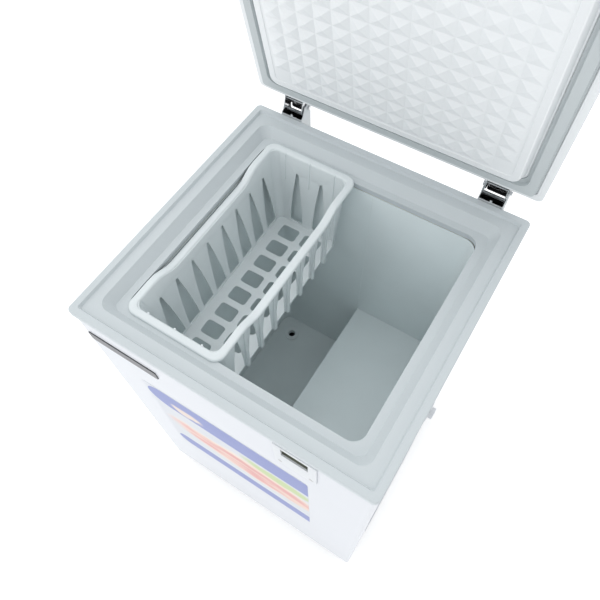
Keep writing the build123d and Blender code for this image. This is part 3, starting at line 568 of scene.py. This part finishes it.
@dataclass
class HangingBasket:
    """One-piece moulded basket: rolled rim, slotted tapered walls, waffle floor and outer ribs."""

    middle_x: float = -119.5
    rim_half: Point2 = (95.5, 216.0)
    rim_radius: float = 20.0
    rim_band: float = 14.0
    rim_z: float = RIM_TOP - 18.0
    rim_thick: float = 5.6
    floor_half: Point2 = (68.0, 187.0)
    floor_z: float = RIM_TOP - 200.0
    corner: Point2 = (12.0, 14.0)
    wall: float = 2.4
    dip: float = 15.0
    dip_run: Point2 = (100.0, 148.0)
    pitch: float = 44.7
    rows: int = 8
    column_x: float = 27.0
    beads: Point3 = (-54.0, 0.0, 54.0)
    bead_stations: tuple[Point3, ...] = ((70.0, 0.4, 0.1), (62.0, 1.1, 1.5), (4.0, 1.3, 1.8))
    nib_half: Point2 = (1.9, 1.5)
    side_pieces: int = 28
    tip_z: float = RIM_TOP - 58.0
    shape: Shape = field(default_factory=Shape)

    def rim_drop(self, x: float, y: float) -> float:
        """How far the rim lies below its highest level at a point."""
        on_side = abs(x - self.middle_x) > self.rim_half[0] - self.rim_band - self.rim_radius * 0.5
        return self.dip * (1.0 - smooth_step(*self.dip_run, abs(y))) if on_side else 0.0

    def top_half(self) -> Point2:
        """Inner half sizes just under the rim."""
        return (self.rim_half[0] - self.rim_band, self.rim_half[1] - self.rim_band)

    def row_places(self) -> list[float]:
        """Middles of the rows of openings, along the basket."""
        return [(row - (self.rows - 1) / 2) * self.pitch for row in range(self.rows)]

    def rim(self) -> None:
        """Rolled rim, dipping along both long sides."""
        thick, band = self.rim_thick, self.rim_band
        section = [(0.0, -thick), (0.0, -2.6), (0.5, -1.3), (1.6, -0.35), (3.2, 0.0), (band - 3.2, 0.0),
                   (band - 1.6, -0.4), (band - 0.4, -1.5), (band, -3.0), (band, -thick),
                   (band - 2.0, -thick), (2.0, -thick)]
        loops = []
        for inward, rise in section:
            half = (self.rim_half[0] - inward, self.rim_half[1] - inward)
            ring = rounded_outline(half, self.rim_radius - inward * 0.75, (self.middle_x, 0.0), 10)
            loop = []
            for (x0, y0), (x1, y1) in zip(ring, ring[1:] + ring[:1]):
                pieces = self.side_pieces if abs(y1 - y0) > 100 else 1
                for k in range(pieces):
                    x, y = x0 + (x1 - x0) * k / pieces, y0 + (y1 - y0) * k / pieces
                    loop.append((x, y, self.rim_z + rise - self.rim_drop(x, y)))
            loops.append(loop)
        self.shape.loft(loops, closed=True)

    def slot(self, across: float, wide: float, height: float) -> list[Point2]:
        """Tapered slot with a round tip.

        Args:
            across: its middle along the wall.
            wide: width near the floor.
            height: how far up the wall its tip is.

        Returns:
            The outline.
        """
        low, tip = 5.0, 2.8
        side = [(wide / 2 - 2.5, low), (wide / 2 - 0.6, low + 1.2), (wide / 2, low + 4), (wide / 2 - 0.8, 32),
                (wide / 2 - 3.2, 62), (wide / 2 - 6.6, 96), (tip + 1.2, height - 12)]
        arc = [(tip * math.cos(math.radians(a)), height - tip + tip * math.sin(math.radians(a)))
               for a in range(0, 91, 18)]
        half = side + arc
        return [(across + u, v) for u, v in half] + [(across - u, v) for u, v in half[-2::-1]]

    def wall_place(self, sign: int, long: bool) -> tuple[Matrix, float]:
        """Placement of a wall's middle plane, and the wall's height along its slope."""
        top, axis = self.top_half(), 0 if long else 1
        run, rise = top[axis] - self.floor_half[axis], self.rim_z - self.floor_z
        slope = math.hypot(run, rise)
        out = Vector((sign, 0, 0)) if long else Vector((0, sign, 0))
        up = (out * run + Vector((0, 0, rise))) / slope
        along = Vector((0, 1, 0)) if long else Vector((1, 0, 0))
        normal = along.cross(up)
        face_out = normal if normal.dot(out) > 0 else -normal
        foot = Vector((self.middle_x, 0, self.floor_z)) + out * self.floor_half[axis]
        place = Matrix((along, up, normal)).transposed().to_4x4()
        place.translation = foot + face_out * self.wall / 2
        return place, slope

    def long_wall(self, sign: int) -> None:
        """Slotted long wall whose top follows the dipped rim."""
        place, slope = self.wall_place(sign, True)
        low, high = (self.floor_half[1] - self.corner[0], self.top_half()[1] - self.corner[1])
        top = slope - 2.5
        outline = [(-low, -self.wall), (low, -self.wall)]
        steps = 40
        for k in range(steps + 1):
            y = high - 2 * high * k / steps
            outline.append((y, top - self.dip * (1.0 - smooth_step(*self.dip_run, abs(y)))))
        holes = [self.slot(y, 31.0, self.tip_z - self.floor_z) for y in self.row_places()]
        self.shape.absorb(cut_sheet(outline, holes, self.wall, 0.5, place))

    def end_wall(self, sign: int) -> None:
        """Short wall with two broad slots and three fine raised lines down from the rim."""
        place, slope = self.wall_place(sign, False)
        low, high = (self.floor_half[0] - self.corner[0], self.top_half()[0] - self.corner[1])
        outline = [(-low, -self.wall), (low, -self.wall), (high, slope - 2.5), (-high, slope - 2.5)]
        holes = [self.slot(x, 30.0, self.tip_z - self.floor_z) for x in (-self.column_x, self.column_x)]
        self.shape.absorb(cut_sheet(outline, holes, self.wall, 0.5, place))
        self.bead_lines(sign, place, slope)

    def bead_lines(self, sign: int, place: Matrix, slope: float) -> None:
        """Three fine raised lines from the rim down each short wall, with a nib on the rim over each."""
        inward = -1.0 if (place @ Vector((0, 0, 1, 0))).y * sign > 0 else 1.0
        face = inward * self.wall / 2
        for across in self.beads:
            rings = []
            for below, wide, proud in self.bead_stations:
                up = slope - below
                profile = ((-wide, 0.0), (-wide * 0.5, proud), (wide * 0.5, proud), (wide, 0.0), (0.0, -0.6))
                rings.append([tuple(place @ Vector((across + u, up, face + inward * v))) for u, v in profile])
            self.shape.loft(rings)
            edge = sign * (self.rim_half[1] - self.rim_band)
            wide, tall = self.nib_half
            middle = (self.middle_x + across, self.rim_z - tall)
            nib = []
            for out, ease in ((1.2, 0.0), (-1.2, 0.0), (-1.9, 0.5)):
                outline = rounded_outline((wide - ease, tall - ease), 0.8, middle, 2)
                nib.append([(u, edge + sign * out, v) for u, v in outline])
            self.shape.loft(nib)

    def corners(self) -> None:
        """Rounded corners that open out towards the rim."""
        top, levels = self.top_half(), 10
        for sx in (-1, 1):
            for sy in (-1, 1):
                rings = []
                for level in range(levels + 1):
                    share = level / levels
                    radius = self.corner[0] + (self.corner[1] - self.corner[0]) * share
                    half = [self.floor_half[i] + (top[i] - self.floor_half[i]) * share for i in (0, 1)]
                    z = self.floor_z - self.wall + (self.rim_z - 2.5 - self.floor_z + self.wall) * share
                    arc = [math.radians(90.0 * k / 8) for k in range(9)]
                    cx, cy = self.middle_x + sx * (half[0] - radius), sy * (half[1] - radius)
                    ring = [(cx + sx * radius * math.cos(a), cy + sy * radius * math.sin(a), z) for a in arc]
                    radius += self.wall
                    ring += [(cx + sx * radius * math.cos(a), cy + sy * radius * math.sin(a), z)
                             for a in arc[::-1]]
                    rings.append(ring)
                self.shape.loft(rings)

    def waffle_floor(self) -> None:
        """Floor with two columns of rounded openings."""
        outline = rounded_outline((self.floor_half[0] + 1.0, self.floor_half[1] + 1.0), 13.0)
        holes = []
        for x in (-self.column_x, self.column_x):
            for y in self.row_places():
                holes.append(rounded_outline((20.5, 15.5), 6.5, (x, y), 5))
        place = Matrix.Translation((self.middle_x, 0, self.floor_z - self.wall / 2))
        self.shape.absorb(cut_sheet(outline, holes, self.wall, 0.6, place))

    def ribs(self) -> None:
        """Tapered ribs outside the right wall, deepest at the floor."""
        run = self.top_half()[0] - self.floor_half[0]
        for number in range(-3, 4):
            y0 = number * self.pitch
            rings = []
            for share, depth, wide in ((0.0, 6.6, 5.2), (0.3, 5.0, 4.8), (0.75, 1.6, 3.6), (0.82, 0.4, 3.0)):
                z = self.floor_z - self.wall + share * (self.rim_z - self.floor_z)
                x = self.middle_x + self.floor_half[0] + run * share + 1.2
                rings.append([(x, y0 - wide, z), (x + depth * 0.7 + 1.0, y0 - wide * 0.8, z),
                              (x + depth + 1.0, y0 - wide * 0.4, z), (x + depth + 1.0, y0 + wide * 0.4, z),
                              (x + depth * 0.7 + 1.0, y0 + wide * 0.8, z), (x, y0 + wide, z)])
            self.shape.loft(rings)

    def build(self) -> bpy.types.Object:
        """Make the basket.

        Returns:
            The basket.
        """
        self.rim()
        for sign in (-1, 1):
            self.long_wall(sign)
            self.end_wall(sign)
        self.corners()
        self.waffle_floor()
        self.ribs()
        return self.shape.piece("hanging_basket", "basket", "basket_plastic", ["storage_basket"])

    def dress(self, piece: bpy.types.Object, materials: dict[str, bpy.types.Material]) -> None:
        """Give the basket its moulded plastic."""
        piece.data.materials.append(materials["basket_plastic"])


# ---- lid lining ---------------------------------------------------------------------------------


@dataclass
class QuiltedLining:
    """Formed lining of the lid: flange, seal channel, stepped middle and a quilt of pyramids."""

    rim_half: Point2 = (280.0, 271.0)
    drop: float = 16.5
    quilt_inset: float = 63.0
    columns: int = 14
    rows: int = 15
    rise: float = 3.8
    shape: Shape = field(default_factory=Shape)

    def ring(self, inset: float, below: float, radius: float) -> list[Point3]:
        """Outline at an inset from the collar's edge, a distance below the lid's underside."""
        half = (self.rim_half[0] - inset, self.rim_half[1] - inset)
        return [(x, y, LID_UNDERSIDE - below) for x, y in rounded_outline(half, radius)]

    def flange_ring(self, shrink: float, below: float) -> list[Point3]:
        """Outline at an inset from the lid's own edge."""
        outline = rounded_outline((279.0 - shrink, 273.0 - shrink), 9.0, (0.0, -2.0))
        return [(x, y, LID_UNDERSIDE - below) for x, y in outline]

    def moulding(self) -> None:
        """Skin the lining from its back, round the flange and in to the middle."""
        drop = self.drop
        rings = [self.flange_ring(1.8, -5.8), self.flange_ring(1.8, -1.4), self.flange_ring(0.3, -1.3),
                 self.flange_ring(0.3, -0.3), self.flange_ring(0.8, 0.0), self.ring(12.6, 0.0, 7),
                 self.ring(13.3, -0.5, 7), self.ring(13.5, -3.0, 7), self.ring(38.5, -3.0, 19),
                 self.ring(38.7, -0.5, 19), self.ring(39.4, 0.0, 19), self.ring(41.0, 0.6, 18),
                 self.ring(41.8, 2.0, 18), self.ring(45.8, drop - 2.0, 16), self.ring(46.6, drop - 0.6, 16),
                 self.ring(48.0, drop, 15), self.ring(58.5, drop, 10), self.ring(59.3, drop - 0.9, 10),
                 self.ring(60.2, drop - 1.0, 10)]
        self.shape.loft(rings)

    def quilt(self) -> None:
        """Closed slab whose face is a field of shallow pyramids, without its four corner cells."""
        half = (self.rim_half[0] - self.quilt_inset, self.rim_half[1] - self.quilt_inset)
        step = (2 * half[0] / self.columns, 2 * half[1] / self.rows)
        face, back = LID_UNDERSIDE - self.drop + 0.9, LID_UNDERSIDE - self.drop + 3.0
        points, index = self.shape.points, {}

        def corner(i: int, j: int, z: float) -> int:
            """Number of a grid corner, made once."""
            key = (i, j, z)
            if key not in index:
                index[key] = len(points)
                points.append((-half[0] + i * step[0], -half[1] + j * step[1], z))
            return index[key]

        ends = {(0, 0), (0, self.rows - 1), (self.columns - 1, 0), (self.columns - 1, self.rows - 1)}
        cells = {(i, j) for i in range(self.columns) for j in range(self.rows)} - ends
        for i, j in sorted(cells):
            around = [(i, j), (i + 1, j), (i + 1, j + 1), (i, j + 1)]
            neighbours = [(i, j - 1), (i + 1, j), (i, j + 1), (i - 1, j)]
            apex = len(points)
            points.append((-half[0] + (i + 0.5) * step[0], -half[1] + (j + 0.5) * step[1], face - self.rise))
            for k in range(4):
                a, b = around[k], around[(k + 1) % 4]
                self.shape.faces.append((corner(*a, face), corner(*b, face), apex))
                if neighbours[k] not in cells:
                    self.shape.faces.append((corner(*a, face), corner(*b, face), corner(*b, back),
                                             corner(*a, back)))
            self.shape.faces.append(tuple(corner(*a, back) for a in around))

    def build(self) -> bpy.types.Object:
        """Make the lining where the open lid carries it.

        Returns:
            The lining.
        """
        self.moulding()
        self.quilt()
        swing = Matrix.Translation(HINGE_PIN) @ Matrix.Rotation(OPEN_ANGLE, 4, "X")
        swing = swing @ Matrix.Translation(-HINGE_PIN)
        return self.shape.piece("quilted_lid_lining", "lid", "lid_plastic", ["lid_inner_lining"], swing, 12.0)

    def dress(self, piece: bpy.types.Object, materials: dict[str, bpy.types.Material]) -> None:
        """Give the lining its formed plastic."""
        piece.data.materials.append(materials["lid_plastic"])


# ---- hinge shade sheets (painted shade) ---------------------------------------------------------


@dataclass
class HingeShadeSheets:
    """Black sheets between the ears of each hinge leaf, behind its pin, as painted shade where the leaf's
    interior lies in shade.
    """

    hinge_x: float = 204.0
    half: float = 18.9
    back_y: Point2 = (303.0, 304.2)
    reach: Point2 = (852.0, 893.0)

    def build(self) -> list[bpy.types.Object]:
        """Make one painted-shade sheet for each hinge.

        Returns:
            The sheets.
        """
        middle, tall = sum(self.reach) / 2, (self.reach[1] - self.reach[0]) / 2
        shade_sheets = []
        for side, x in (("left", -self.hinge_x), ("right", self.hinge_x)):
            shape = Shape()
            front, back = self.back_y
            rings = []
            for y, ease in ((front, 0.4), (front + 0.3, 0.0), (back - 0.3, 0.0), (back, 0.4)):
                outline = rounded_outline((self.half - ease, tall - ease), 3.0, (x, middle), 4)
                rings.append([(u, y, v) for u, v in outline])
            shape.loft(rings)
            # Each black sheet stands where the hinge leaf's interior is only in shade: painted shade.
            shade_sheets.append(shape.piece(f"hinge_shade_sheet_{side}", "lid", "black_plastic", []))
        return shade_sheets

    def dress(self, shade_sheets: Sequence[bpy.types.Object], materials: dict[str, bpy.types.Material]) -> None:
        """Give the sheets their black, which paints the shade."""
        for shade_sheet in shade_sheets:
            shade_sheet.data.materials.append(materials["black_plastic"])


# ---- hinge springs ------------------------------------------------------------------------------


@dataclass
class HingeSprings:
    """Pair of coil springs in each hinge channel, built at one fixed length; the real ones shorten as the lid
    shuts.
    """

    slot: str
    hinge_x: float = 204.0
    spread: float = 10.0
    middle_y: float = 286.0
    low: float = RIM_TOP - 103.8
    tall: float = 45.6
    radius: float = 7.0
    wire: float = 1.1
    turns: int = 9
    keep: float = 0.745

    def coil(self, shape: Shape, x: float) -> None:
        """Round wire wound up from the spring's foot."""
        steps, around = self.turns * 20, 8
        rise = self.tall / (math.tau * self.turns)
        bearings = [math.tau * k / around for k in range(around)]
        rings = []
        for step in range(steps + 1):
            angle = math.tau * self.turns * step / steps
            out = Vector((math.cos(angle), math.sin(angle), 0.0))
            along = Vector((-self.radius * out.y, self.radius * out.x, rise)).normalized()
            side = along.cross(out)
            centre = Vector((x, self.middle_y, self.low + rise * angle)) + out * self.radius
            ring = [centre + (out * math.cos(a) + side * math.sin(a)) * self.wire for a in bearings]
            rings.append([tuple(point) for point in ring])
        shape.loft(rings)

    def build(self) -> list[bpy.types.Object]:
        """Make both pairs.

        Returns:
            One piece for each hinge.
        """
        pairs = []
        for side, x in (("left", -self.hinge_x), ("right", self.hinge_x)):
            shape = Shape()
            for offset in (-self.spread, self.spread):
                self.coil(shape, x + offset)
            pair = shape.piece(f"coil_springs_{side}", "cabinet", self.slot, [f"hinge_springs_{side}"])
            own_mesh(pair)
            pairs.append(pair)
        return pairs

    def dress(self, pairs: Sequence[bpy.types.Object], materials: dict[str, bpy.types.Material]) -> None:
        """Give the springs their steel."""
        for pair in pairs:
            pair.data.materials.append(materials[self.slot])


# ---- carried-over metalwork and mouldings -------------------------------------------------------


@dataclass
class CabinetWork:
    """Everything taken over as it was made: sheet, collar, liner, machine bay, hinges and feet."""

    nodes: dict[str, bpy.types.Object]
    slots: dict[str, str]
    own: dict[str, str] = field(default_factory=lambda: dict(OWN_FINISHES))

    def build(self) -> list[str]:
        """List the nodes that stay as they are."""
        return sorted(self.nodes)

    def dress(self, names: Sequence[str], materials: dict[str, bpy.types.Material]) -> None:
        """Give each node the finish of its slot.

        Args:
            names: nodes to dress.
            materials: slot name to material.
        """
        for name in names:
            mesh = self.nodes[name].data
            mesh.materials.clear()
            finish = self.own.get(name, self.slots[name])
            mesh.materials.append(materials[finish])
            LOG.info("dressed %s as %s", name, finish)


# ---- studio -------------------------------------------------------------------------------------


@dataclass
class Studio:
    """Pale floor, soft lamps and the camera.

    The camera's down and turn are in degrees and its roll is in radians.
    """

    eye: Point3 = (284.4, -431.7, 1645.2)
    down: float = 60.27
    turn: float = -34.86
    roll: float = -0.050
    lens: float = 34.52
    sensor: float = 36.0
    floor_half: float = 60.0
    floor_level: float = -0.001
    floor_glow: float = 0.35
    aim: Point3 = (0.0, 0.0, 0.7)
    sky_strength: float = 0.84
    lamps: tuple[tuple[str, Point3, float, float], ...] = (
        ("front_panel", (-1.0, -2.2, 2.0), 1.6, 7.0),
        ("left_panel", (-2.4, 0.3, 3.0), 2.0, 13.0),
        ("top_panel", (-0.1, 0.25, 2.5), 1.2, 4.5),
        ("rear_panel", (1.2, 3.0, 2.6), 2.0, 10.0),
    )

    def floor(self, slot: str = "studio_floor") -> None:
        """Seamless pale floor."""
        finish = Finish(slot, (0.93, 0.93, 0.93), 0.7, mottling=0.004, soil=0.0, relief=0.00001)
        half, level = self.floor_half, self.floor_level
        corners = [(-half, -half, level), (half, -half, level), (half, half, level), (-half, half, level)]
        mesh = bpy.data.meshes.new(slot)
        mesh.from_pydata(corners, [], [(0, 1, 2, 3)])
        paint = finish.material()
        inputs = paint.node_tree.nodes["Principled BSDF"].inputs
        inputs["Emission Color"].default_value = (1.0, 1.0, 1.0, 1.0)
        inputs["Emission Strength"].default_value = self.floor_glow
        mesh.materials.append(paint)
        floor = bpy.data.objects.new(slot, mesh)
        bpy.context.scene.collection.objects.link(floor)

    def lamp(self, name: str, place: Point3, size: float, power: float) -> None:
        """One soft panel aimed at the cabinet.

        Args:
            name: the lamp's name.
            place: where it hangs, in metres.
            size: side of the panel, in metres.
            power: watts.
        """
        light = bpy.data.lights.new(name, "AREA")
        light.shape = "SQUARE"
        light.size = size
        light.energy = power
        lamp = bpy.data.objects.new(name, light)
        lamp.location = place
        lamp.rotation_euler = (Vector(self.aim) - Vector(place)).to_track_quat("-Z", "Y").to_euler()
        bpy.context.scene.collection.objects.link(lamp)

    def sky(self) -> None:
        """Even white surroundings."""
        world = bpy.data.worlds.new("studio")
        world.use_nodes = True
        background = world.node_tree.nodes["Background"]
        background.inputs["Color"].default_value = (0.96, 0.98, 1.0, 1.0)
        background.inputs["Strength"].default_value = self.sky_strength
        bpy.context.scene.world = world

    def camera(self) -> None:
        """Camera looking down over the front right corner."""
        turn, down = math.radians(self.turn), math.radians(self.down)
        ahead = Vector((math.sin(turn) * math.cos(down), math.cos(turn) * math.cos(down), -math.sin(down)))
        level = Vector((math.cos(turn), -math.sin(turn), 0.0))
        raised = level.cross(ahead)
        across = level * math.cos(self.roll) + raised * math.sin(self.roll)
        upward = raised * math.cos(self.roll) - level * math.sin(self.roll)
        data = bpy.data.cameras.new("camera")
        data.lens = self.lens
        data.sensor_width = self.sensor
        camera = bpy.data.objects.new("camera", data)
        facing = Matrix((across, upward, -ahead)).transposed().to_4x4()
        camera.matrix_world = Matrix.Translation(Vector(self.eye) * MM) @ facing
        bpy.context.scene.collection.objects.link(camera)
        bpy.context.scene.camera = camera

    def build(self) -> None:
        """Set the whole studio."""
        self.floor()
        for name, place, size, power in self.lamps:
            self.lamp(name, place, size, power)
        self.sky()
        self.camera()
        bpy.context.scene.view_settings.view_transform = "Standard"


def main() -> None:
    """Build and dress every sub-assembly, then set the studio."""
    logging.basicConfig(level=logging.INFO, format="%(message)s")
    slots = {part["node"]: part["material_slot"] for part in frame["record"]["subparts"]}
    materials = {slot: finish.material() for slot, finish in FINISHES.items()}
    cabinet = CabinetWork(frame["nodes"], slots)
    cabinet.dress(cabinet.build(), materials)
    basket = HangingBasket()
    basket.dress(basket.build(), materials)
    lining = QuiltedLining()
    lining.dress(lining.build(), materials)
    # Black sheets in the hinge leaves are painted shade.
    shade_sheets = HingeShadeSheets()
    shade_sheets.dress(shade_sheets.build(), materials)
    springs = HingeSprings(slots["hinge_springs_left"])
    springs.dress(springs.build(), materials)
    Studio().build()


if __name__ == "__main__":
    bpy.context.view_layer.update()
    main()
